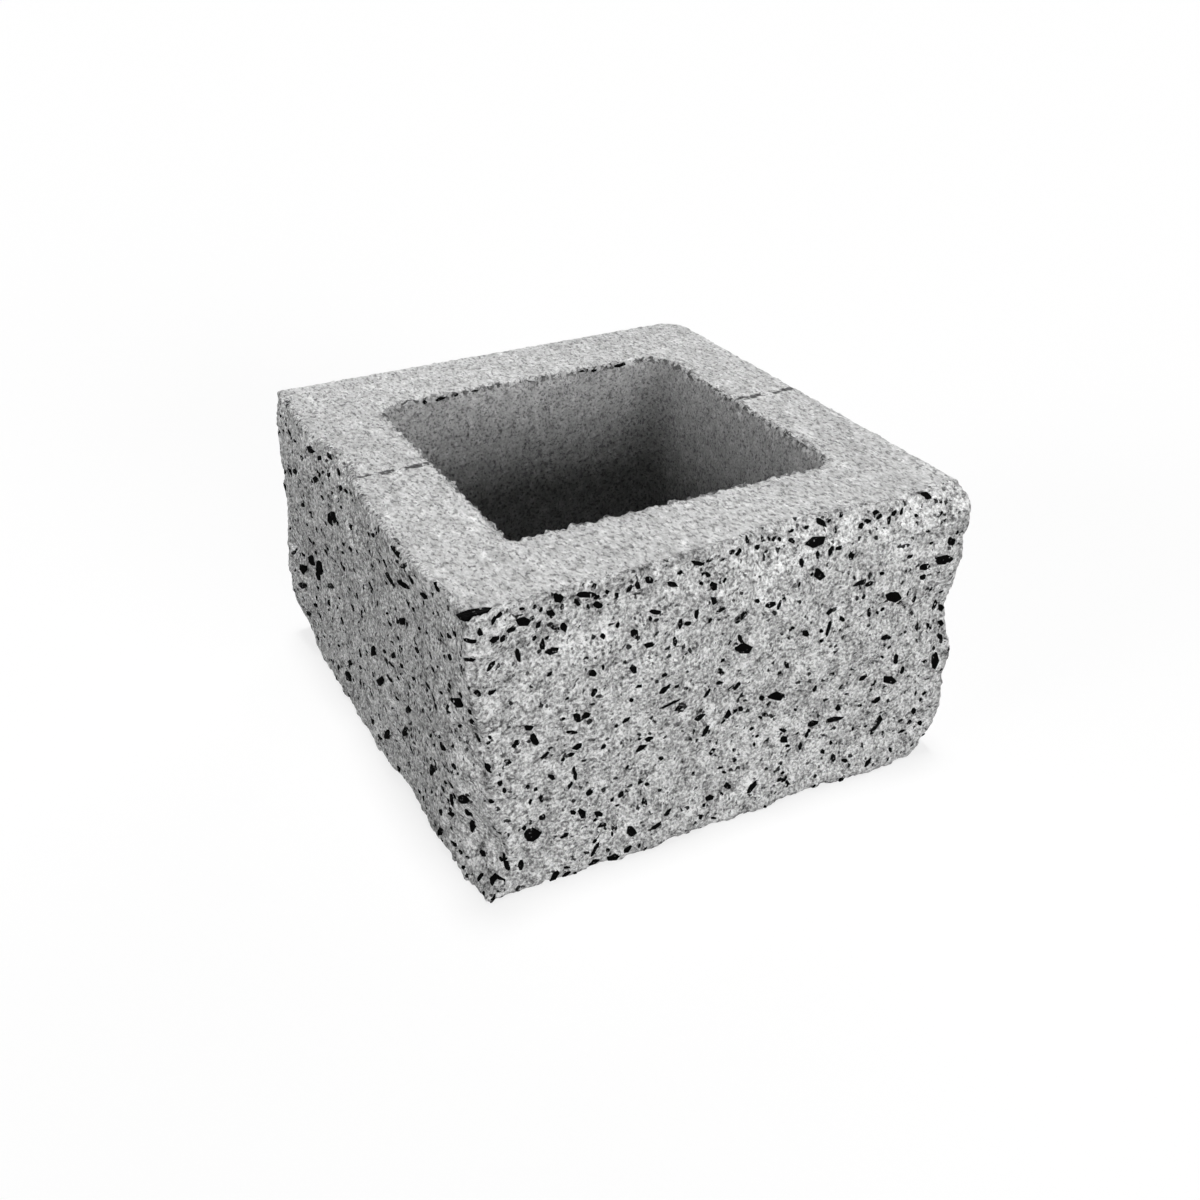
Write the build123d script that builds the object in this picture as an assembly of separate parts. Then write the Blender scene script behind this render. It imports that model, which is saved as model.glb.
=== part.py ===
from build123d import *
from collections import namedtuple
from math import cos, exp, pi, radians, sin
import os

# Hollow pillar block of dense concrete, cast in a mould and then split on two sides.
# Sizes are in millimetres. X runs from the left split side to the right moulded side,
# Y from the front split side to the back moulded side, and Z up from the lower bed.
# The origin is the middle of the lower bed's box.

# Overall sizes. A split side is measured at its mean plane.
width = 320.0
depth = 338.0
height = 190.0

# Walls round the core, measured at the top.
right_wall = 50.5
left_wall = 55.0
back_wall = 62.0
front_wall = 64.0

# The core's own shape. Its former draws out upwards, so the hole is wider at the top.
# The corner nearest the two split sides is almost sharp.
core_corner_radius = 16.0
core_near_corner_radius = 3.5
core_draft_angle = 0.6
core_rim_radius = 1.0

# The rounded upright corner between the two moulded sides.
moulded_corner_radius = 18.0

# The mark that the bar carrying the core former left across both side walls.
bar_mark_width = 3.0
bar_mark_depth = 0.8
bar_mark_behind_middle = 6.0

# The splits. Concrete beyond each mean plane is waste that the split takes off.
waste_thickness = 16.0
split_overrun = 12.0
split_step = 12.0
corner_rounds = 40

# A broad rise or hollow of a split side. Along runs from one end of the side to the
# other and up from the lower bed, both as a share of the side. Reach is how far it
# spreads each way, and rise how far it stands out of the mean plane.
Swell = namedtuple("Swell", "along up reach_along reach_up rise")

# Along runs from the left side to the right side.
front_swells = (
    Swell(1.00, 0.92, 34, 15, 7.0),
    Swell(1.00, 1.02, 24, 10, -10.0),
    Swell(1.00, 0.74, 36, 12, 2.5),
    Swell(1.00, 0.57, 28, 13, -5.5),
    Swell(1.02, 0.41, 40, 17, 6.5),
    Swell(1.00, 0.20, 34, 18, 4.0),
    Swell(1.00, 0.00, 15, 12, -8.0),
    Swell(0.90, 1.02, 20, 16, -6.0),
    Swell(0.65, 1.03, 46, 28, -11.0),
    Swell(0.38, 1.02, 44, 26, -3.0),
    Swell(0.03, 1.00, 26, 26, 3.5),
    Swell(0.86, 0.01, 32, 18, 3.5),
    Swell(0.30, 0.62, 52, 36, 2.5),
    Swell(0.56, 0.34, 48, 30, -2.5),
    Swell(0.78, 0.55, 34, 26, 2.0),
    Swell(0.17, 0.34, 34, 30, -2.0),
    Swell(0.36, 0.06, 60, 22, 2.5),
)

# Along runs from the front side to the back side. The last two are the piece broken off
# the near corner, from the middle of its height to the bed.
left_swells = (
    Swell(0.59, 1.03, 20, 34, -9.0),
    Swell(0.70, 1.00, 30, 20, -2.0),
    Swell(0.30, 0.98, 56, 26, 2.5),
    Swell(1.00, 1.02, 26, 8, -6.0),
    Swell(1.00, 0.28, 36, 26, 5.0),
    Swell(1.02, 0.00, 30, 12, -5.0),
    Swell(0.31, 0.00, 24, 16, -3.0),
    Swell(0.70, 0.50, 30, 22, -4.0),
    Swell(0.82, 0.72, 28, 24, 2.0),
    Swell(0.46, 0.46, 48, 38, 3.0),
    Swell(0.18, 0.62, 30, 30, 2.0),
    Swell(-0.01, 0.50, 26, 40, -9.0),
    Swell(-0.01, 0.18, 28, 25, -17.0),
)

# The smaller chunks between the swells are bent waves that cross at odd angles.
Wave = namedtuple("Wave", "length angle height")
chunk_waves = (
    Wave(88.0, 25.0, 0.8),
    Wave(66.0, 118.0, 0.5),
    Wave(50.0, 70.0, 0.3),
    Wave(38.0, 155.0, 0.2),
)


def chunks(along, up):
    """How far the smaller chunks of broken concrete stand out at one point."""
    rise = 0.0
    for wave in chunk_waves:
        turn = radians(wave.angle)
        ahead = along * cos(turn) + up * sin(turn)
        across = up * cos(turn) - along * sin(turn)
        bent = ahead + wave.length / 5 * sin(4 * across / wave.length)
        rise += wave.height * sin(2 * pi * bent / wave.length)
    return rise


def bulge(along, up, side_length, swells):
    """How far a split side stands out of its mean plane at one point."""
    rise = chunks(along + side_length, up)
    for swell in swells:
        off_along = (along - swell.along * side_length) / swell.reach_along
        off_up = (up - swell.up * height) / swell.reach_up
        rise += swell.rise * exp(-off_along**2 - off_up**2)
    return rise


def front_y(x, up):
    """Where the front split side lies, at one distance across and one height."""
    return front_plane - bulge(x - left_plane, up, width, front_swells)


def left_x(y, up):
    """Where the left split side lies, at one distance back and one height."""
    return left_plane - bulge(y - front_plane, up, depth, left_swells)


def near_corner(up):
    """Where the two split sides meet at one height, found by closing in from the planes."""
    x, y = left_plane, front_plane
    for _ in range(corner_rounds):
        x = left_x(y, up)
        y = front_y(x, up)
    return x, y


def split_edge(corner, far, length, point_at):
    """A wavy edge of a split side at one level. Its stations are as many at every level
    and evenly timed, so that the levels loft without crowding."""
    count = round(length / split_step)
    shares = [index / count for index in range(count + 1)]
    points = [point_at(corner + (far - corner) * share) for share in shares]
    return Edge.make_spline(points, parameters=shares)


def split_section(up):
    """One level of the broken casting: two wavy edges from the near corner, closed by
    straight lines that run outside the moulded sides."""
    corner_x, corner_y = near_corner(up)
    far_x = left_plane + width + split_overrun
    far_y = front_plane + depth + split_overrun
    front = split_edge(corner_x, far_x, width, lambda x: (x, front_y(x, up), up))
    left = split_edge(corner_y, far_y, depth, lambda y: (left_x(y, up), y, up))
    outside = Polyline(front @ 1, (far_x, far_y, up), left @ 1)
    return make_face([front, outside, left])


def split_body():
    """What the two splits leave, lofted from level to level, past the top and the bed."""
    rise = height + 2 * split_overrun
    count = round(rise / split_step)
    levels = [rise * index / count - split_overrun for index in range(count + 1)]
    return loft([split_section(up) for up in levels])


def mould_blank():
    """The casting before it is split: square but for one rounded upright corner."""
    outline = Rectangle(width + waste_thickness, depth + waste_thickness, align=Align.MAX)
    outline = Pos(left_plane + width, front_plane + depth) * outline
    far_corner = outline.vertices().sort_by(Axis.X)[-2:].sort_by(Axis.Y)[-1]
    return extrude(fillet(far_corner, moulded_corner_radius), height)


def core():
    """The drafted hole, drawn down from its full size at the top of the block."""
    mouth = Rectangle(core_width, core_depth)
    outside_near_corner = (-core_width, -core_depth)
    mouth = fillet(
        mouth.vertices().sort_by_distance(outside_near_corner)[1:], core_corner_radius
    )
    mouth = fillet(
        mouth.vertices().sort_by_distance(outside_near_corner)[0], core_near_corner_radius
    )
    return extrude(Plane.XY.offset(height) * mouth, -height, taper=core_draft_angle)


def bar_mark():
    """A round-bottomed groove across the whole top, cut where it meets the walls."""
    radius = (bar_mark_width**2 / 4 + bar_mark_depth**2) / (2 * bar_mark_depth)
    length = width + 2 * waste_thickness
    groove = Rot(0, 90, 0) * Cylinder(radius, length)
    middle_x = left_plane + width / 2
    return Pos(middle_x, bar_mark_behind_middle, height - bar_mark_depth + radius) * groove


# The walls settle where the planes lie round the core's own middle.
core_width = width - left_wall - right_wall
core_depth = depth - front_wall - back_wall
left_plane = -core_width / 2 - left_wall
front_plane = -core_depth / 2 - front_wall

block = mould_blank() - core()
core_rim = block.faces().sort_by(Axis.Z)[-1].inner_wires()[0].edges()
block = fillet(core_rim, core_rim_radius)
block = (block - bar_mark()) & split_body()

box = block.bounding_box()
block = Pos(-box.center().X, -box.center().Y, -box.min.Z) * block.solid()
block.label = "concrete_block"

os.makedirs("parts", exist_ok=True)
export_step(block, "parts/concrete_block.step")
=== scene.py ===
from collections import namedtuple
from math import cos, pi, radians, sin
from random import Random

import bmesh
import bpy
import numpy as np
from mathutils import Matrix, Vector
from mathutils.bvhtree import BVHTree


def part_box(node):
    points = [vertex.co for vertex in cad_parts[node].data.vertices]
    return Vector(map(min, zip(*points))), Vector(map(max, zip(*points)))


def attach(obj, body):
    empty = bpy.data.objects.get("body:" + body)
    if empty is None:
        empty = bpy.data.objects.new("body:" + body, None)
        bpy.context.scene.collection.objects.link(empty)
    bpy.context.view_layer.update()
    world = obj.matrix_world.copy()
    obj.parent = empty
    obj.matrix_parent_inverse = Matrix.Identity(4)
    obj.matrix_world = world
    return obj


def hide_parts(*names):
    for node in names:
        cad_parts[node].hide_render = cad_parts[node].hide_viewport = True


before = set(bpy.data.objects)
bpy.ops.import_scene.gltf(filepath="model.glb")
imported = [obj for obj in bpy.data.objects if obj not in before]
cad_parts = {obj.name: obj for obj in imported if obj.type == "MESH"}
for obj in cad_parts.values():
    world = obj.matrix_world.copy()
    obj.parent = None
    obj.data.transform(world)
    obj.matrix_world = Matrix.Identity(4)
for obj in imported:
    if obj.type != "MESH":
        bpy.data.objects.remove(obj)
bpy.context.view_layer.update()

# Looks of a hollow pillar block of dense concrete, split on its front and left sides.
# Everything is in metres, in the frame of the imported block: X to the right moulded
# side, Y to the back moulded side, Z up from the lower bed. The tables of relief, masks
# and stones are in millimetres and degrees, and the functions that use them say so.

low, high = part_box("concrete_block")
height = high.z - low.z
millimetre = 0.001


# Working on a piece as by hand

def take(piece):
    """Makes one piece the only thing selected, and the one that is worked on."""
    bpy.ops.object.select_all(action="DESELECT")
    piece.select_set(True)
    bpy.context.view_layer.objects.active = piece


def finish_with(piece, kind, **settings):
    """Adds one modifier to a piece and applies it."""
    take(piece)
    modifier = piece.modifiers.new(kind.lower(), kind)
    for name, value in settings.items():
        setattr(modifier, name, value)
    bpy.ops.object.modifier_apply(modifier=modifier.name)


def piece_of(mesh):
    """A new piece at the origin that shows one mesh, under the mesh's name."""
    piece = bpy.data.objects.new(mesh.name, mesh)
    bpy.context.collection.objects.link(piece)
    return piece


def drop(piece):
    """Clears away a helper that isn't part of the block."""
    mesh = piece.data
    bpy.data.objects.remove(piece)
    bpy.data.meshes.remove(mesh)


def corners_of(piece):
    """The places of a piece's vertices, as rows of three."""
    mesh = piece.data
    places = np.empty(len(mesh.vertices) * 3, np.float32)
    mesh.vertices.foreach_get("co", places)
    return places.reshape(-1, 3)


def move_corners(piece, places):
    """Puts a piece's vertices at new places, given as rows of three."""
    piece.data.vertices.foreach_set("co", places.ravel())
    piece.data.update()


def keep_in_box(piece):
    """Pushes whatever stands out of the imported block's box back to that box."""
    lowest, highest = np.array(low, np.float32), np.array(high, np.float32)
    move_corners(piece, np.clip(corners_of(piece), lowest, highest))


# Shader maths: a value wraps a socket, and ordinary arithmetic on it adds Math nodes

class Value:
    def __init__(self, finish, socket):
        self.finish = finish
        self.socket = socket

    def maths(self, operation, *others, clamp=False):
        settings = {"operation": operation, "use_clamp": clamp}
        inputs = dict(enumerate((self,) + others))
        return Value(self.finish, self.finish.add("ShaderNodeMath", settings, inputs).outputs[0])

    def reflected(self, operation, other):
        inputs = {0: other, 1: self}
        node = self.finish.add("ShaderNodeMath", {"operation": operation}, inputs)
        return Value(self.finish, node.outputs[0])

    def __add__(self, other):
        return self.maths("ADD", other)

    def __radd__(self, other):
        return self.reflected("ADD", other)

    def __sub__(self, other):
        return self.maths("SUBTRACT", other)

    def __rsub__(self, other):
        return self.reflected("SUBTRACT", other)

    def __mul__(self, other):
        return self.maths("MULTIPLY", other)

    def __rmul__(self, other):
        return self.reflected("MULTIPLY", other)

    def within(self):
        """Held between 0 and 1."""
        return self.maths("ADD", 0.0, clamp=True)

    def greater(self, other):
        return self.maths("MAXIMUM", other)

    def step(self, start, end):
        """0 at start and 1 at end, with a smooth turn at both. Start may be the larger."""
        inputs = {"Value": self, "From Min": start, "From Max": end}
        if start > end:
            inputs.update({"From Min": end, "From Max": start, "To Min": 1.0, "To Max": 0.0})
        settings = {"interpolation_type": "SMOOTHSTEP"}
        node = self.finish.add("ShaderNodeMapRange", settings, inputs)
        return Value(self.finish, node.outputs[0])


class Nodes:
    """The nodes of a material or of the world. Every node comes from add()."""

    def __init__(self, owner, output):
        owner.use_nodes = True
        self.tree = owner.node_tree
        self.tree.nodes.clear()
        self.output = self.add(output)

    def add(self, kind, settings=None, inputs=None):
        """One node: its settings first, then the values or links of its sockets."""
        node = self.tree.nodes.new(kind)
        for name, value in (settings or {}).items():
            setattr(node, name, value)
        for name, value in (inputs or {}).items():
            if isinstance(value, Value):
                value = value.socket
            if isinstance(value, bpy.types.NodeSocket):
                self.tree.links.new(value, node.inputs[name])
            else:
                node.inputs[name].default_value = value
        return node

    def mixed(self, share, first, second):
        """The first shader where the share is 0, and the second where it is 1."""
        inputs = {0: share, 1: first.outputs[0], 2: second.outputs[0]}
        return self.add("ShaderNodeMixShader", {}, inputs)

    def show(self, shader):
        """Joins the finished shader to the output."""
        self.tree.links.new(shader.outputs[0], self.output.inputs["Surface"])


class Finish(Nodes):
    """A material on its way. Patterns follow its place, which is the object's own
    coordinates until the finish changes it."""

    def __init__(self, name):
        self.material = bpy.data.materials.new(name)
        super().__init__(self.material, "ShaderNodeOutputMaterial")
        self.place = self.add("ShaderNodeTexCoord").outputs["Object"]

    def value(self, socket):
        return Value(self, socket)

    def mask(self, name):
        """A value painted on the piece's mesh."""
        node = self.add("ShaderNodeAttribute", {"attribute_name": name})
        return self.value(node.outputs["Fac"])

    def stretched(self, x, y, z, shift=(0.0, 0.0, 0.0)):
        """The place, drawn out or squeezed along each axis."""
        inputs = {"Vector": self.place, "Scale": (x, y, z), "Location": shift}
        return self.add("ShaderNodeMapping", {}, inputs).outputs["Vector"]

    def stirred(self, size, amount):
        """The place, pushed about so that straight borders turn ragged."""
        inputs = {"Vector": self.place, "Scale": 1.0 / size, "Detail": 2.0}
        noise = self.add("ShaderNodeTexNoise", {}, inputs)
        inputs = {0: noise.outputs["Color"], 1: (0.5, 0.5, 0.5)}
        centred = self.add("ShaderNodeVectorMath", {"operation": "SUBTRACT"}, inputs)
        inputs = {0: centred.outputs[0], 1: (amount * 2,) * 3, 2: self.place}
        return self.add("ShaderNodeVectorMath", {"operation": "MULTIPLY_ADD"}, inputs).outputs[0]

    def noise(self, size, detail=2.0, roughness=0.5, place=None):
        """Cloudy noise from 0 to 1 whose lumps are about that size in metres."""
        inputs = {
            "Vector": place or self.place, "Scale": 1.0 / size,
            "Detail": detail, "Roughness": roughness,
        }
        return self.value(self.add("ShaderNodeTexNoise", {}, inputs).outputs["Fac"])

    def toss(self, size, place):
        """A number from 0 to 1 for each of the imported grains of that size, the same all
        over one grain."""
        grains = self.add("ShaderNodeTexVoronoi", {}, {"Vector": place, "Scale": 1.0 / size})
        parts = self.add("ShaderNodeSeparateColor", {}, {"Color": grains.outputs["Color"]})
        return self.value(parts.outputs[0])

    def grey(self, value):
        """A colour that is as light as the value says."""
        inputs = {0: value, 1: value, 2: value}
        return self.add("ShaderNodeCombineColor", {}, inputs).outputs[0]

    def dent(self, height_map, depth):
        """A normal that rises and sinks with a value, by that depth in metres."""
        inputs = {"Height": height_map, "Distance": depth, "Strength": 1.0}
        return self.add("ShaderNodeBump", {}, inputs).outputs[0]

    def shade(self, **sockets):
        """The finished surface, joined to the output."""
        inputs = {}
        for name, value in sockets.items():
            inputs[name.replace("_", " ").title().replace("Ior", "IOR")] = value
        self.show(self.add("ShaderNodeBsdfPrincipled", {}, inputs))
        return self.material


# The block: a merged copy of the CAD solid, remeshed finely and roughened

rough_voxel = 1.8 * millimetre
fine_voxel = 1.3 * millimetre
block_triangles = 192000
merging_distance = 0.00001

# How close the faces of the top, the bed and the moulded sides lie to the box.
top_reach = 1.2 * millimetre
bed_reach = 0.1 * millimetre
moulded_reach = 20 * millimetre
# How squarely they face that way, as a part of the normal. A moulded side's faces may
# besides face a little to the front or the left, but no more than its turn.
top_facing = 0.5
bed_facing = 0.9
moulded_facing = 0.5
moulded_turn = 0.3
# The core's middle, and how far its walls lie from it at the most.
core_middle = Vector((0.0048, 0.0038))
core_reach = 0.11
# An edge between two faces of the split sides counts as an arris from this angle.
arris_angle = radians(40)

# How far round each side and each edge its mask is full, and where it ends.
side_masks = {
    "split": (2.0, 4.5), "core": (1.0, 3.0), "moulded": (1.0, 3.0), "top": (0.8, 2.5),
}
edge_masks = {
    "arris": (["split"], ["top", "bed", "moulded", "split"], 1.0, 5.0),
    "rim": (["top"], ["core"], 1.5, 7.0),
    "cast_edge": (["moulded"], ["top", "bed"], 0.8, 2.5),
}
painted_masks = ("split", "core", "moulded", "top", "rim", "arris")

# The relief follows a mask. The texture's lumps have that size, and the depth is from its
# black to its white. What is darker than the level sinks, and what is lighter rises, or
# the other way round where the depth is below zero.
Relief = namedtuple("Relief", "mask name kind size depth level settings")
coarse_relief = (
    Relief("split", "broken_chunks", "VORONOI", 17, 2.0, 0.40, {}),
    Relief("split", "ledges", "CLOUDS", 26, 2.6, 0.48, {"noise_depth": 2}),
    Relief("arris", "chips", "CLOUDS", 8, 2.6, 0.52, {"noise_depth": 2}),
    Relief("rim", "rim_crumbs", "CLOUDS", 7, 7.0, 0.58, {"noise_depth": 2}),
    Relief("cast_edge", "edge_crumbs", "CLOUDS", 6, 2.0, 0.62, {"noise_depth": 2}),
)
fine_relief = (
    Relief(
        "split", "stone_beds", "VORONOI", 8, -1.6, 0.25, {"distance_metric": "DISTANCE_SQUARED"}
    ),
    Relief("split", "crumbs", "CLOUDS", 3.6, 2.2, 0.48, {"noise_depth": 2}),
    Relief("rim", "rim_sand", "CLOUDS", 3.0, 4.2, 0.55, {"noise_depth": 1}),
    Relief("cast_edge", "edge_sand", "CLOUDS", 3.0, 1.4, 0.66, {"noise_depth": 1}),
    Relief("top", "sand", "CLOUDS", 3.6, 1.0, 0.66, {"noise_depth": 1}),
)


def merged_copy(name):
    """A closed copy of the CAD solid, with its loose triangles joined."""
    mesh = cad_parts["concrete_block"].data.copy()
    mesh.name = name
    mesh.materials.clear()
    piece = piece_of(mesh)
    take(piece)
    bpy.ops.object.mode_set(mode="EDIT")
    bpy.ops.mesh.select_all(action="SELECT")
    bpy.ops.mesh.remove_doubles(threshold=merging_distance)
    bpy.ops.object.mode_set(mode="OBJECT")
    return piece


def lies_on(face):
    """Which side of the block a face of the CAD copy belongs to."""
    middle, normal = face.calc_center_median(), face.normal
    if normal.z > top_facing and middle.z > high.z - top_reach:
        return "top"
    if normal.z < -bed_facing and middle.z < low.z + bed_reach:
        return "bed"
    off = Vector((middle.x - core_middle.x, middle.y - core_middle.y))
    if normal.xy.dot(off) < 0 and abs(off.x) < core_reach and abs(off.y) < core_reach:
        return "core"
    far_right, far_back = middle.x > high.x - moulded_reach, middle.y > high.y - moulded_reach
    if far_right and normal.x > moulded_facing and normal.y > -moulded_turn:
        return "moulded"
    if far_back and normal.y > moulded_facing and normal.x > -moulded_turn:
        return "moulded"
    return "split"


def patch(solid, wanted):
    """A copy of only those faces of the CAD solid that lie on the wanted side."""
    shape = bmesh.new()
    shape.from_mesh(solid.data)
    unwanted = [face for face in shape.faces if lies_on(face) != wanted]
    bmesh.ops.delete(shape, geom=unwanted, context="FACES")
    return piece_from(shape, wanted + "_side")


def borders(solid, firsts, seconds, name):
    """A copy of the edges where one group of sides meets another. Where both groups have
    the split sides, the sharp edge between those two is copied as well."""
    shape = bmesh.new()
    shape.from_mesh(solid.data)
    unwanted = []
    for edge in shape.edges:
        sides = {lies_on(face) for face in edge.link_faces}
        wanted = len(sides) == 2 and sides & set(firsts) and sides & set(seconds)
        if sides == {"split"} and "split" in firsts and "split" in seconds:
            wanted = edge.calc_face_angle(0.0) > arris_angle
        if not wanted:
            unwanted.append(edge)
    bmesh.ops.delete(shape, geom=list(shape.faces), context="FACES_ONLY")
    bmesh.ops.delete(shape, geom=unwanted, context="EDGES")
    return piece_from(shape, name + "_lines")


def piece_from(shape, name):
    """Turns a shape that was cut from the CAD copy into a piece."""
    mesh = bpy.data.meshes.new(name)
    shape.to_mesh(mesh)
    shape.free()
    return piece_of(mesh)


def near(piece, group, target, full, none, geometry):
    """A vertex group that is 1 as far as full from the target, and 0 from none onwards,
    both in millimetres."""
    members = piece.vertex_groups.new(name=group)
    members.add(range(len(piece.data.vertices)), 1.0, "REPLACE")
    finish_with(
        piece, "VERTEX_WEIGHT_PROXIMITY", vertex_group=group, target=target,
        proximity_mode="GEOMETRY", proximity_geometry={geometry},
        min_dist=none * millimetre, max_dist=full * millimetre,
    )
    drop(target)


def mark_out(piece, solid):
    """Gives a piece a vertex group for every side and every edge of the block."""
    piece.vertex_groups.clear()
    for side, (full, none) in side_masks.items():
        near(piece, side, patch(solid, side), full, none, "FACE")
    for edge, (firsts, seconds, full, none) in edge_masks.items():
        near(piece, edge, borders(solid, firsts, seconds, edge), full, none, "EDGE")


def roughen(piece, reliefs):
    """Works every relief of a table into the surface."""
    for relief in reliefs:
        texture = bpy.data.textures.new(relief.name, relief.kind)
        texture.noise_scale = relief.size * millimetre
        for key, value in relief.settings.items():
            setattr(texture, key, value)
        finish_with(
            piece, "DISPLACE", vertex_group=relief.mask, texture=texture, direction="NORMAL",
            texture_coords="LOCAL", mid_level=relief.level, strength=relief.depth * millimetre,
        )


def paint(piece, groups):
    """Turns vertex groups into values that the shader reads, and removes the groups."""
    columns = {piece.vertex_groups[group].index: column for column, group in enumerate(groups)}
    weights = np.zeros((len(piece.data.vertices), len(groups)), np.float32)
    for vertex in piece.data.vertices:
        for member in vertex.groups:
            if member.group in columns:
                weights[vertex.index, columns[member.group]] = member.weight
    piece.vertex_groups.clear()
    for column, group in enumerate(groups):
        layer = piece.data.attributes.new(group, "FLOAT", "POINT")
        layer.data.foreach_set("value", np.ascontiguousarray(weights[:, column]))


def shape_block():
    """The block's mesh: the arrises are worn and the coarse relief is worked in, then the
    surface is remeshed more finely and gets the fine relief."""
    solid = merged_copy("cad_copy")
    piece = merged_copy("block")
    finish_with(piece, "REMESH", mode="VOXEL", voxel_size=rough_voxel, adaptivity=0.0)
    mark_out(piece, solid)
    finish_with(piece, "SMOOTH", vertex_group="arris", factor=0.5, iterations=1)
    roughen(piece, coarse_relief)
    finish_with(piece, "REMESH", mode="VOXEL", voxel_size=fine_voxel, adaptivity=0.0)
    mark_out(piece, solid)
    drop(solid)
    roughen(piece, fine_relief)
    share = block_triangles / (2.0 * len(piece.data.polygons))
    finish_with(
        piece, "DECIMATE", decimate_type="COLLAPSE", use_collapse_triangulate=True, ratio=share,
        vertex_group="rim", invert_vertex_group=True,
    )
    paint(piece, painted_masks)
    keep_in_box(piece)
    take(piece)
    bpy.ops.object.shade_smooth()
    return piece


# The black stones that the split laid bare, and black slivers that stand as painted shadow under
# the core's back rim: a few angular shapes, copied and sunk in

# Across, up, length, width and turn. On the front, across is X. On the left, it is Y.
front_stones = (
    (-145, 11, 11, 8.0, -72), (-125, 38, 9.5, 9.0, -45),
    (115, 127, 11.5, 6.8, -36), (57, 176, 12, 5.2, 10), (148, 145, 11, 6.2, -15),
    (10, 122, 10.5, 5.6, -11), (37, 79, 11, 5.4, -11), (-89, 183, 11, 3.8, -20),
    (-126, 179, 8.4, 4.6, -14), (153, 72, 13, 4.6, -82), (59, 157, 9.5, 5.4, -39),
    (113, 36, 11, 5.2, 59), (-140, 24, 11, 3.4, -79), (7, 143, 8.2, 4.3, 46),
    (119, 68, 9.5, 5.2, -29), (-39, 101, 13, 2.2, 8), (-105, 186, 6.0, 4.8, -23),
    (-121, 103, 8.8, 3.8, -69), (-63, 20, 7.2, 5.2, -42), (-93, 42, 8.0, 4.0, -68),
    (-129, 159, 8.2, 2.6, -87), (-110, 156, 7.3, 3.4, 6), (22, 19, 9.0, 4.4, 46),
    (153, 156, 6.6, 5.4, -73), (-43, 113, 7.8, 3.6, 40), (-97, 111, 6.2, 4.4, -66),
    (-74, 4, 7.6, 5.0, -9), (-61, 153, 5.8, 4.4, -69), (89, 143, 8.8, 3.4, 12),
    (82, 48, 12, 2.6, -5), (63, 185, 8.6, 3.0, -46), (-52, 182, 6.0, 3.8, -34),
    (-109, 177, 5.4, 4.2, -31), (-111, 3, 7.4, 4.6, 68), (-102, 167, 5.6, 3.6, -72),
    (134, 187, 6.0, 4.4, -34), (-147, 92, 7.6, 3.2, -66), (135, 143, 6.0, 5.2, -23),
    (-38, 176, 7.2, 2.8, -30), (-17, 83, 6.8, 4.0, 20), (-22, 184, 7.6, 2.4, -20),
    (1, 77, 8.2, 3.0, 55), (26, 146, 6.6, 3.8, 5), (-82, 175, 6.6, 3.4, -35),
    (65, 51, 7.0, 4.4, -10), (-48, 162, 7.2, 2.6, -20), (-155, 177, 6.6, 2.6, -20),
    (-87, 136, 5.2, 3.8, -38), (-132, 104, 5.6, 4.0, 64), (111, 101, 6.6, 4.2, -20),
    (159, 105, 6.4, 4.2, -27), (68, 119, 9.0, 2.6, 76), (-83, 38, 6.2, 3.4, -33),
    (-86, 15, 10, 2.0, 58), (-100, 102, 6.2, 3.0, -26), (-86, 3.5, 6.0, 3.6, 18),
    (-14, 73, 7.2, 3.0, 58), (-152, 143, 5.0, 3.2, -52), (82, 20, 6.4, 4.0, -66),
    (44, 46, 6.8, 4.0, -43), (5, 25, 5.6, 4.2, -45), (-118, 62, 6.4, 2.6, -75),
    (-65, 7, 6.0, 3.8, 50), (82, 162, 5.0, 4.2, -67), (-47, 18, 6.8, 3.0, 31),
)
left_stones = (
    (118, 84, 12, 8, -30), (100, 87, 13, 8, -50), (108, 76, 8, 6, 0), (56, 144, 19, 9, -24),
    (59, 22, 15, 7, -25), (-19, 24, 14, 6, -46), (-147, 127, 11, 5.4, -17),
    (-143, 59, 11, 6.0, -43), (139, 67, 14, 7, -23), (-105, 56, 15, 5.4, -60),
    (-82, 166, 12, 4.0, -13), (-61, 159, 12, 5.0, 3), (-73, 137, 11, 4.2, -29),
    (-29, 71, 13, 4.4, -45), (-82, 187, 14, 3.2, -4), (-153, 9, 7, 2.8, -70),
    (-17, 86, 9, 5.4, -55), (-125, 84, 7.4, 5.2, -29), (146, 26, 16, 4.2, -29),
    (-112, 14, 11, 4.2, -54), (83, 160, 13, 4.0, -26), (142, 53, 13, 4.6, -21),
    (-58, 51, 12, 4.0, -55), (82, 81, 13, 3.8, -27), (-56, 105, 12, 3.4, -39),
    (125, 149, 13, 3.8, -22), (-70, 75, 10, 4.6, -48), (-13, 61, 8.6, 5.0, -21),
    (-115, 175, 9, 3.0, -12), (84, 181, 10, 4.0, -5), (-94, 184, 8.6, 3.4, -32),
    (-143, 39, 7.4, 4.2, -60), (48, 40, 12, 3.6, -25), (-119, 108, 9.6, 3.4, -57),
)
# The one on the top lies close to the near corner. Here across is X and up is Y.
top_stones = ((-153.5, -164.5, 16, 5.6, -4),)
# Black stone slivers right under the back rim of the core, put there as painted shadow under the
# rim's lip. Across is X.
rim_shadow_slits = (
    (-70, 187.0, 3.0, 2.6, 0), (-59, 187.2, 7.5, 2.2, 8), (-47, 187.6, 3.0, 2.0, 30),
    (-33, 188.0, 4.0, 1.6, 0), (50, 188.0, 7.0, 1.6, 5), (58, 187.4, 4.0, 1.8, 20),
    (79, 187.4, 8.0, 2.4, 0),
)
core_back = 108 * millimetre

# How many more stones are strewn, and the least and greatest lengths and widths.
Sizes = namedtuple("Sizes", "count length width")
loose_stones = (
    Sizes(105, (3.8, 6.4), (2.3, 3.9)),
    Sizes(120, (2.4, 3.6), (1.6, 2.6)),
)
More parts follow.
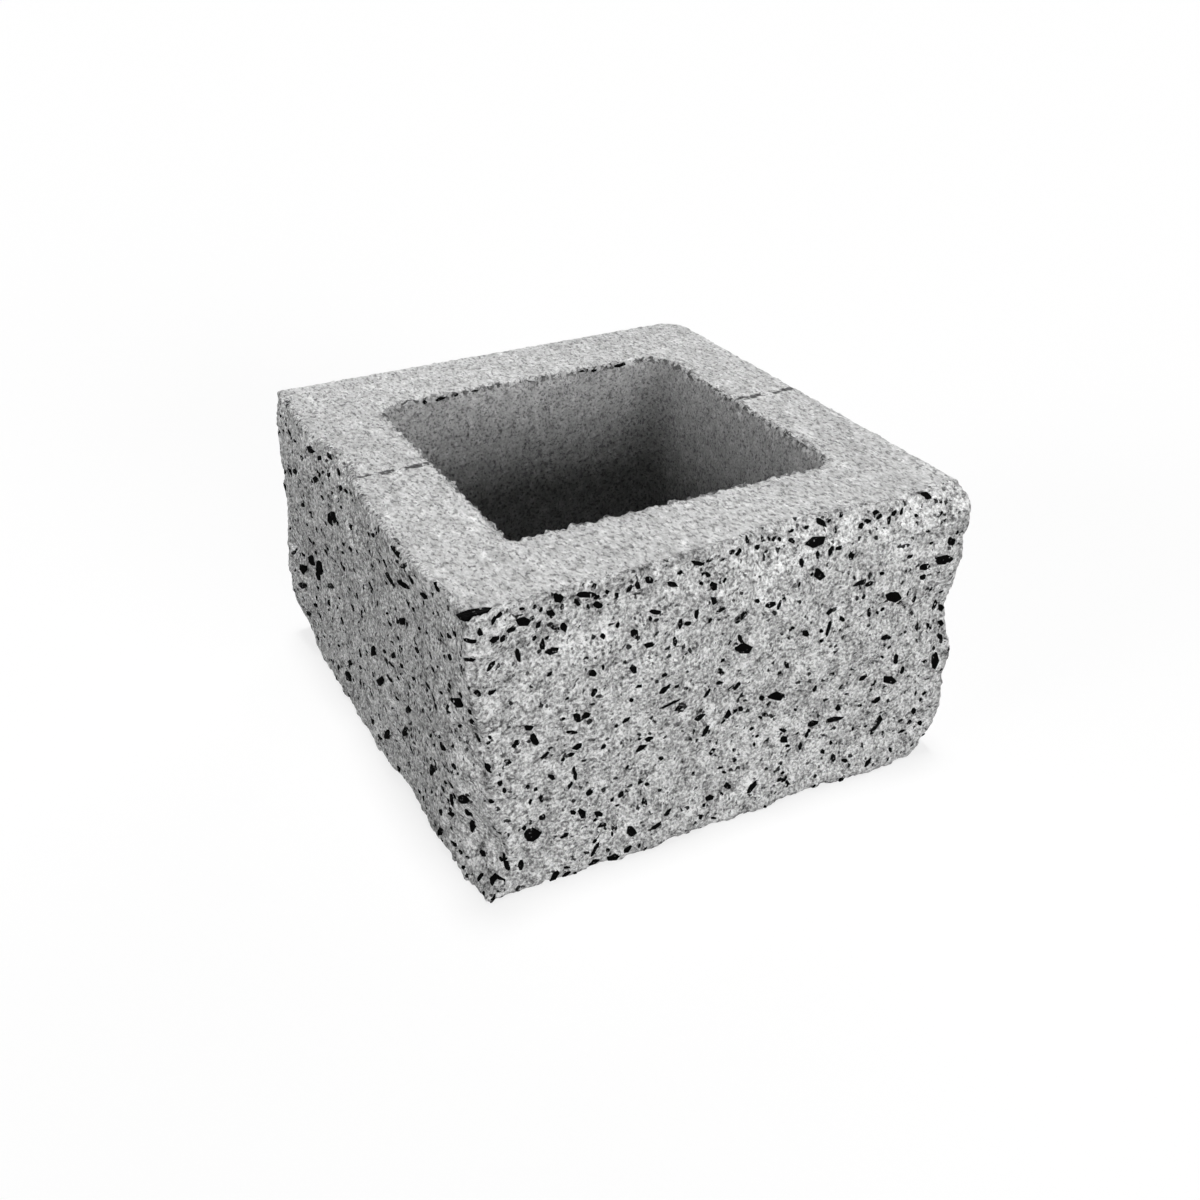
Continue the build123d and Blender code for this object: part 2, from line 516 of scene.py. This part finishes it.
# These lie along the front's upper edge, from this height upwards.
edge_stones = Sizes(34, (2.4, 4.8), (1.8, 3.2))
edge_stones_above = 178.0
# A stone is strewn at the first place of so many that leaves such a gap to the others,
# and no closer to the top than this.
places_tried = 12
least_gap = 0.4
kept_below_top = 2

# A stone reaches so deep and stands out so little, in millimetres. It lies at the level
# of the second highest point under it, or the highest one under a big stone, but no more
# than so far above their mean.
stone_depth = 2.6
stone_stands_out = 0.3
most_raised = 1.1
big_stone = 7.0
# Where the rough face is felt for under a stone, as parts of its length and width, how
# far off that starts and how far it goes, and how many of the nine points must meet it.
felt_at = (-0.4, 0.0, 0.4)
felt_from = 0.03
felt_reach = 0.08
fewest_felt = 5
# How much the stone faces straight out, against 1 for the way the rough face does.
straight_out = 0.5
# The bed on the top is so deep, its half-axes are so large a part of the stone's sizes,
# and only what lies so close to the top sinks.
bed_depth = 1.6
bed_margin = 0.75
bed_layer = 3

# What stone shapes are drawn from. A stone starts as a prism with a number of sides and
# is cut a few times, each cut leaning by its slant and at a distance from the middle. Then
# its corners shift, close ones merge, and the faces that look out this squarely are shown.
stone_shapes = 12
stone_sides = (5, 6, 7, 8)
stone_cuts = (1, 2, 2, 3)
cut_slant = (-0.15, 0.3)
cut_distance = (0.22, 0.38)
corner_shift = 0.08
corners_merge = 0.05
shown_facing = 0.7


def stone_shape(draws):
    """One angular stone, a unit long and wide. Its broken face is at Z = 0."""
    bpy.ops.object.select_all(action="DESELECT")
    bpy.ops.mesh.primitive_cylinder_add(
        vertices=draws.choice(stone_sides), radius=0.5, depth=1.0, location=(0.0, 0.0, -0.5)
    )
    stone = bpy.context.object
    bpy.ops.object.transform_apply(location=True, rotation=False, scale=False)
    bpy.ops.object.mode_set(mode="EDIT")
    for _ in range(draws.choice(stone_cuts)):
        turn = draws.uniform(0, 2 * pi)
        facing = (cos(turn), sin(turn), draws.uniform(*cut_slant))
        cut = [part * draws.uniform(*cut_distance) for part in facing[:2]] + [0.0]
        bpy.ops.mesh.select_all(action="SELECT")
        bpy.ops.mesh.bisect(plane_co=cut, plane_no=facing, use_fill=True, clear_outer=True)
    bpy.ops.mesh.select_all(action="SELECT")
    bpy.ops.transform.vertex_random(offset=corner_shift, seed=draws.randrange(1000))
    bpy.ops.mesh.remove_doubles(threshold=corners_merge)
    bpy.ops.mesh.normals_make_consistent(inside=False)
    bpy.ops.object.mode_set(mode="OBJECT")
    places = corners_of(stone)
    faces = [tuple(face.vertices) for face in stone.data.polygons]
    shown = sum(face.area for face in stone.data.polygons if face.normal.z > shown_facing)
    drop(stone)
    # The shape is centred, and widened until it shows as much as an ellipse of its sizes.
    reach = places.max(axis=0) - places.min(axis=0)
    fuller = (pi / 4 * reach[0] * reach[1] / shown) ** 0.5
    places[:, :2] -= (places.max(axis=0) + places.min(axis=0))[:2] / 2
    places[:, :2] *= fuller / reach[:2]
    places[:, 2] -= places[:, 2].max()
    return places, faces


def sink_bed(piece, across, up, length, width, turn):
    """Hollows the block's top out under one stone, so that the stone's face shows."""
    places = corners_of(piece)
    off = places[:, :2] - np.array((across, up), np.float32) * millimetre
    ahead = off[:, 0] * cos(radians(turn)) + off[:, 1] * sin(radians(turn))
    aside = off[:, 1] * cos(radians(turn)) - off[:, 0] * sin(radians(turn))
    reach = millimetre * bed_margin
    inside = (ahead / (length * reach)) ** 2 + (aside / (width * reach)) ** 2 < 1.0
    inside &= places[:, 2] > high.z - bed_layer * millimetre
    places[inside, 2] -= bed_depth * millimetre
    move_corners(piece, places)


def bed_for(tree, middle, outwards, along, length, width):
    """Where a stone lies on the rough face: its middle and the way that it faces."""
    across = outwards.cross(along)
    hits = []
    normals = Vector()
    for step_long in felt_at:
        for step_wide in felt_at:
            start = middle + along * length * step_long + across * width * step_wide
            start = start + outwards * felt_from
            hit, normal, _, _ = tree.ray_cast(start, -outwards, felt_reach)
            if hit is not None:
                hits.append(hit)
                normals += normal
    if len(hits) < fewest_felt:
        return None
    faces = (outwards * straight_out + normals.normalized()).normalized()
    centre = sum(hits, Vector()) / len(hits)
    levels = sorted((hit - centre).dot(faces) for hit in hits)
    covered = 1 if length > big_stone * millimetre else 2
    return centre + faces * min(levels[-covered], most_raised * millimetre), faces


class StoneField:
    """All the stones of one side of the block, joined as they are placed. Across and up
    are the two ways over that side, from its start."""

    def __init__(self, tree, start, along, up, seed):
        self.tree, self.start, self.along, self.up = tree, start, along, up
        self.outwards = along.cross(up)
        if self.outwards.dot(Vector((1, 1, -1))) > 0:
            # The sides with stones face the front, the left or up, and never these ways.
            self.outwards = -self.outwards
        self.draws = Random(seed)
        self.taken = []
        self.places, self.faces, self.cover = [], [], []

    def lay(self, across, up, length, width, turn, cover):
        """Sinks one stone into the face. Sizes are in millimetres and turns in degrees.
        The cover is how much paste is left on it, from 0 to 1."""
        lie = self.along * cos(radians(turn)) + self.up * sin(radians(turn))
        middle = self.start + self.along * across * millimetre + self.up * up * millimetre
        size = np.array((length, width, stone_depth), np.float32) * millimetre
        bed = bed_for(
            self.tree, middle, self.outwards, lie, length * millimetre, width * millimetre
        )
        if bed is None:
            return
        centre, faces = bed
        lie = (lie - faces * lie.dot(faces)).normalized()
        shape, sides_of_stone = self.draws.choice(shapes)
        turned = Matrix((lie, faces.cross(lie), faces)).transposed()
        raised = centre + faces * stone_stands_out * millimetre
        first = len(self.places)
        for place in shape * size:
            self.places.append(raised + turned @ Vector(place))
            self.cover.append(cover)
        self.faces += [tuple(first + corner for corner in side) for side in sides_of_stone]
        self.taken.append((across, up, (length + width) / 4))

    def free(self, across, up, reach):
        """Whether nothing that was laid lies within that reach of a place."""
        return all((across - x) ** 2 + (up - z) ** 2 > (reach + r) ** 2 for x, z, r in self.taken)

    def scatter(self, lowest, highest, sizes, steepest=90.0, under=1.0):
        """Strews loose stones where there is room, between the lowest and the highest
        across and from under upwards. They turn from level no further than the steepest."""
        for kind in sizes:
            for _ in range(kind.count):
                length = self.draws.uniform(*kind.length)
                width = min(length, self.draws.uniform(*kind.width))
                turn = self.draws.uniform(-steepest, steepest)
                cover = self.draws.random() ** 2
                for _ in range(places_tried):
                    across = self.draws.uniform(lowest, highest)
                    up = self.draws.uniform(under, height / millimetre - kept_below_top)
                    if self.free(across, up, (length + width) / 4 + least_gap):
                        self.lay(across, up, length, width, turn, cover)
                        break

    def make_piece(self, name):
        """The stones as one piece of the block."""
        mesh = bpy.data.meshes.new(name)
        mesh.from_pydata(self.places, [], self.faces)
        layer = mesh.attributes.new("cover", "FLOAT", "POINT")
        layer.data.foreach_set("value", self.cover)
        mesh.update()
        mesh.materials.append(stone_finish)
        piece = piece_of(mesh)
        keep_in_box(piece)
        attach(piece, "root")


# Finishes: sizes of grains and lumps are in metres, and tones from black at 0 to white at 1

paste_tone = 0.56
stone_tone = 0.0015
darkest_tone = 0.006
bar_mark_y = 9.8 * millimetre


def concrete_finish():
    """Dense grey concrete: pale paste full of grey and black sand, bigger where it is
    split, streaked where it slid along the mould."""
    finish = Finish("grey_concrete")
    split, top, rim = (finish.mask(name) for name in ("split", "top", "rim"))
    core, moulded, arris = (finish.mask(name) for name in ("core", "moulded", "arris"))

    # Where it is broken, cast against the mould, inside the core, and flat on the top.
    ragged = (split + (finish.noise(0.006, 3.0) - 0.5) * 0.8).step(0.35, 0.7)
    cast = (core.greater(moulded) - ragged).within()
    inside = (core - ragged).within()
    flat = (top - core - ragged).within()

    # The mark of the bar crosses the flat top and wanders a little.
    parts = finish.add("ShaderNodeSeparateXYZ", {}, {0: finish.place})
    along_y = finish.value(parts.outputs["Y"])
    wander = (finish.noise(0.005, 2.0) - 0.5) * 0.004
    off_mark = (along_y - bar_mark_y + wander).maths("ABSOLUTE")
    bar_mark = off_mark.step(0.0040, 0.0018) * flat

    # The top was struck off from front to back, so everything on it is drawn out along Y.
    struck = along_y * (1.0 - flat.step(0.49, 0.51) * 0.48)
    smeared = {0: parts.outputs["X"], 1: struck, 2: parts.outputs["Z"]}
    finish.place = finish.add("ShaderNodeCombineXYZ", {}, smeared).outputs[0]

    # Lighter and darker clouds in the paste.
    broad = finish.noise(0.06, 3.0) - 0.5
    mottled = finish.noise(0.0085, 2.0) - 0.5
    fine = finish.noise(0.0018, 2.0, 0.6) - 0.5
    streaks = finish.noise(0.0036, 2.0, place=finish.stretched(1.0, 1.0, 0.3)) - 0.5
    elsewhere = finish.stretched(1.0, 1.0, 1.0, shift=(0.3, 0.1, 0.2))
    pale_flake = finish.noise(0.0050, 2.0, 0.5, place=elsewhere).step(0.56, 0.70)

    # Grains, stones and holes, each 1 where there is one.
    big_grain = finish.noise(0.0042, 3.0, 0.6).step(0.56, 0.67)
    small_grain = finish.noise(0.0024, 1.0, 0.5).step(0.55, 0.66)
    dim_stone = finish.noise(0.0060, 3.0, 0.6).step(0.635, 0.70) * ragged
    # Pinholes are only darkened, not sunk in the bump: painted shade in the holes.
    pinhole_shade = finish.noise(0.0016, 1.0, 0.5).step(0.60, 0.68)
    stirred = finish.stirred(0.0030, 0.0012)
    black = finish.toss(0.0024, stirred).step(0.022, 0.020) * ragged
    small_black = finish.toss(0.0015, stirred).step(0.016, 0.014) * (ragged * 0.8 + 0.2)
    # Pits along the bar mark: sunk in the bump, and darkened as painted shade in them.
    dashes = finish.noise(0.0034, 2.0, 0.5, place=finish.stretched(0.5, 1.0, 1.0))
    mark_pits_and_shade = (dashes + bar_mark * 0.08).step(0.54, 0.60) * bar_mark
    # Pits along the core's rim: sunk in the bump, and darkened as painted shadow under the rim's
    # lip.
    rim_pits_and_shade = (finish.noise(0.0046, 2.0) + rim * 0.10).step(0.62, 0.65) * rim

    # The tone is a share of the paste's own. Each mark then takes its part off it.
    tone = 1.13 + ragged * 0.13 + broad * 0.35 + mottled * (0.8 + ragged * 1.1)
    tone = tone + fine * (1.5 + ragged * 2.3) + pale_flake * 0.3 + streaks * cast * 0.5
    for mark, darkness in (
        (big_grain, 0.08 + ragged * 0.50), (small_grain, 0.42),
        (pinhole_shade, 0.5 - ragged * 0.25), (dim_stone, 0.7), (black, 0.95),
        (small_black, 0.85), (mark_pits_and_shade, 0.80), (rim_pits_and_shade, 0.75),
    ):
        tone = tone * (1.0 - mark * darkness)
    # Along the broken arrises the tone is 24% lower: partly for the black stones there, partly
    # painted shade on crumbs that catch the light.
    # Inside the core the tone is 31% lower: painted shade for the deep hole.
    tone = tone * paste_tone * (1.0 - inside * 0.31) * (1.0 - arris * 0.24)

    relief = fine * (1.0 + ragged * 1.0) - big_grain * ragged * 0.5 - small_grain * 0.25
    relief = relief + streaks * cast * 0.5 - mark_pits_and_shade - rim_pits_and_shade
    return finish.shade(
        base_color=finish.grey(tone.greater(darkest_tone)), roughness=0.95,
        specular_ior_level=0.2, normal=finish.dent(relief, 1.0 * millimetre),
    )


def black_stone_finish():
    """Broken black stone, dull, with some paste left on it."""
    finish = Finish("black_stone")
    smear = finish.noise(0.0022, 3.0, 0.6)
    left_on = (smear + finish.mask("cover") * 0.12).step(0.66, 0.72)
    glint = finish.noise(0.0011, 1.0)
    tone = stone_tone * (1.0 - left_on) + left_on * (paste_tone * 0.55)
    return finish.shade(
        base_color=finish.grey(tone), roughness=0.75 + left_on * 0.2,
        specular_ior_level=0.06, normal=finish.dent(glint + smear, 0.5 * millimetre),
    )


# The pieces

block = shape_block()
block.data.materials.append(concrete_finish())
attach(block, "root")
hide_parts("concrete_block")

shape_draws = Random(41)
shapes = [stone_shape(shape_draws) for _ in range(stone_shapes)]
stone_finish = black_stone_finish()
block_tree = BVHTree.FromPolygons(
    [vertex.co.copy() for vertex in block.data.vertices],
    [tuple(face.vertices) for face in block.data.polygons],
)
right, back, upwards = Vector((1, 0, 0)), Vector((0, 1, 0)), Vector((0, 0, 1))
front_field = StoneField(block_tree, Vector((0, low.y, low.z)), right, upwards, 7)
left_field = StoneField(block_tree, Vector((low.x, 0, low.z)), back, upwards, 8)
# The black slivers along the core's back rim are painted shadow under its lip.
rim_shadow_field = StoneField(block_tree, Vector((0, core_back, low.z)), right, upwards, 9)
top_field = StoneField(block_tree, Vector((0, 0, high.z)), right, back, 10)
for field, notable in (
    (front_field, front_stones), (left_field, left_stones), (rim_shadow_field, rim_shadow_slits),
    (top_field, top_stones),
):
    for across, up, length, width, turn in notable:
        field.lay(across, up, length, width, turn, field.draws.random() ** 3)
for stone in top_stones:
    sink_bed(block, *stone)
front_field.scatter(-156, 158, [edge_stones], under=edge_stones_above)
front_field.scatter(-158, 160, loose_stones)
left_field.scatter(-166, 170, loose_stones, steepest=40.0)
front_field.make_piece("front_stones")
left_field.make_piece("left_stones")
rim_shadow_field.make_piece("core_rim_shadow_slits")
top_field.make_piece("top_stone")


# Floor, world, lamps and camera

white = (1.0, 1.0, 1.0, 1.0)
floor_white = (0.9, 0.9, 0.9, 1.0)
floor_grey = (0.04, 0.04, 0.04, 1.0)
room_grey = (0.015, 0.015, 0.015, 1.0)
floor_size = 12.0
# The floor lies a hair lower than the bed, so that the two don't show through each other.
floor_drop = 0.2 * millimetre


def floor_finish():
    """White to the camera with the block's soft shadow, and grey to everything else."""
    finish = Finish("white_floor")
    camera_ray = finish.add("ShaderNodeLightPath").outputs["Is Camera Ray"]
    dark = finish.add("ShaderNodeBsdfDiffuse", {}, {"Color": floor_grey})
    pale = finish.add("ShaderNodeBsdfDiffuse", {}, {"Color": floor_white})
    glow = finish.add("ShaderNodeEmission", {}, {"Color": white, "Strength": 1.04})
    finish.show(finish.mixed(camera_ray, dark, finish.mixed(0.75, pale, glow)))
    return finish.material


def lay_floor():
    bpy.ops.object.select_all(action="DESELECT")
    bpy.ops.mesh.primitive_plane_add(size=floor_size, location=(0.0, 0.0, low.z - floor_drop))
    floor = bpy.context.object
    floor.name = "floor"
    floor.data.materials.append(floor_finish())


def set_world():
    """A dim room, white to the camera."""
    world = bpy.data.worlds.new("studio")
    bpy.context.scene.world = world
    nodes = Nodes(world, "ShaderNodeOutputWorld")
    camera_ray = nodes.add("ShaderNodeLightPath").outputs["Is Camera Ray"]
    room = nodes.add("ShaderNodeBackground", {}, {"Color": room_grey})
    backdrop = nodes.add("ShaderNodeBackground", {}, {"Color": white})
    nodes.show(nodes.mixed(camera_ray, room, backdrop))


def hang_lamp(name, azimuth, elevation, spread, level):
    """A far soft lamp. Azimuth 0 is in front and 90 on the right, and a white surface that
    faces it renders as bright as its level says."""
    data = bpy.data.lights.new(name, "SUN")
    data.energy = level * pi
    data.angle = radians(spread)
    lamp = bpy.data.objects.new(name, data)
    turn, rise = radians(azimuth), radians(elevation)
    towards = Vector((sin(turn) * cos(rise), -cos(turn) * cos(rise), sin(rise)))
    lamp.rotation_euler = towards.to_track_quat("Z", "Y").to_euler()
    lamp.location = towards * 2.0
    bpy.context.collection.objects.link(lamp)


def set_camera():
    """The camera at the photograph's height and angle."""
    data = bpy.data.cameras.new("camera")
    data.lens = 39.909
    data.sensor_width = 36.0
    camera = bpy.data.objects.new("camera", data)
    camera.location = (-0.3560, -0.6915, 0.5250)
    camera.rotation_euler = (radians(59.6748), radians(0.1076), radians(-27.6615))
    bpy.context.collection.objects.link(camera)
    bpy.context.scene.camera = camera


lay_floor()
set_world()
hang_lamp("top_lamp", 150, 87, 12, 0.67)
hang_lamp("front_lamp", 6, 7, 31, 0.92)
hang_lamp("left_lamp", -90, 9, 36, 0.53)
hang_lamp("back_lamp", 135, 8, 40, 0.42)
set_camera()
bpy.context.scene.view_settings.view_transform = "Standard"
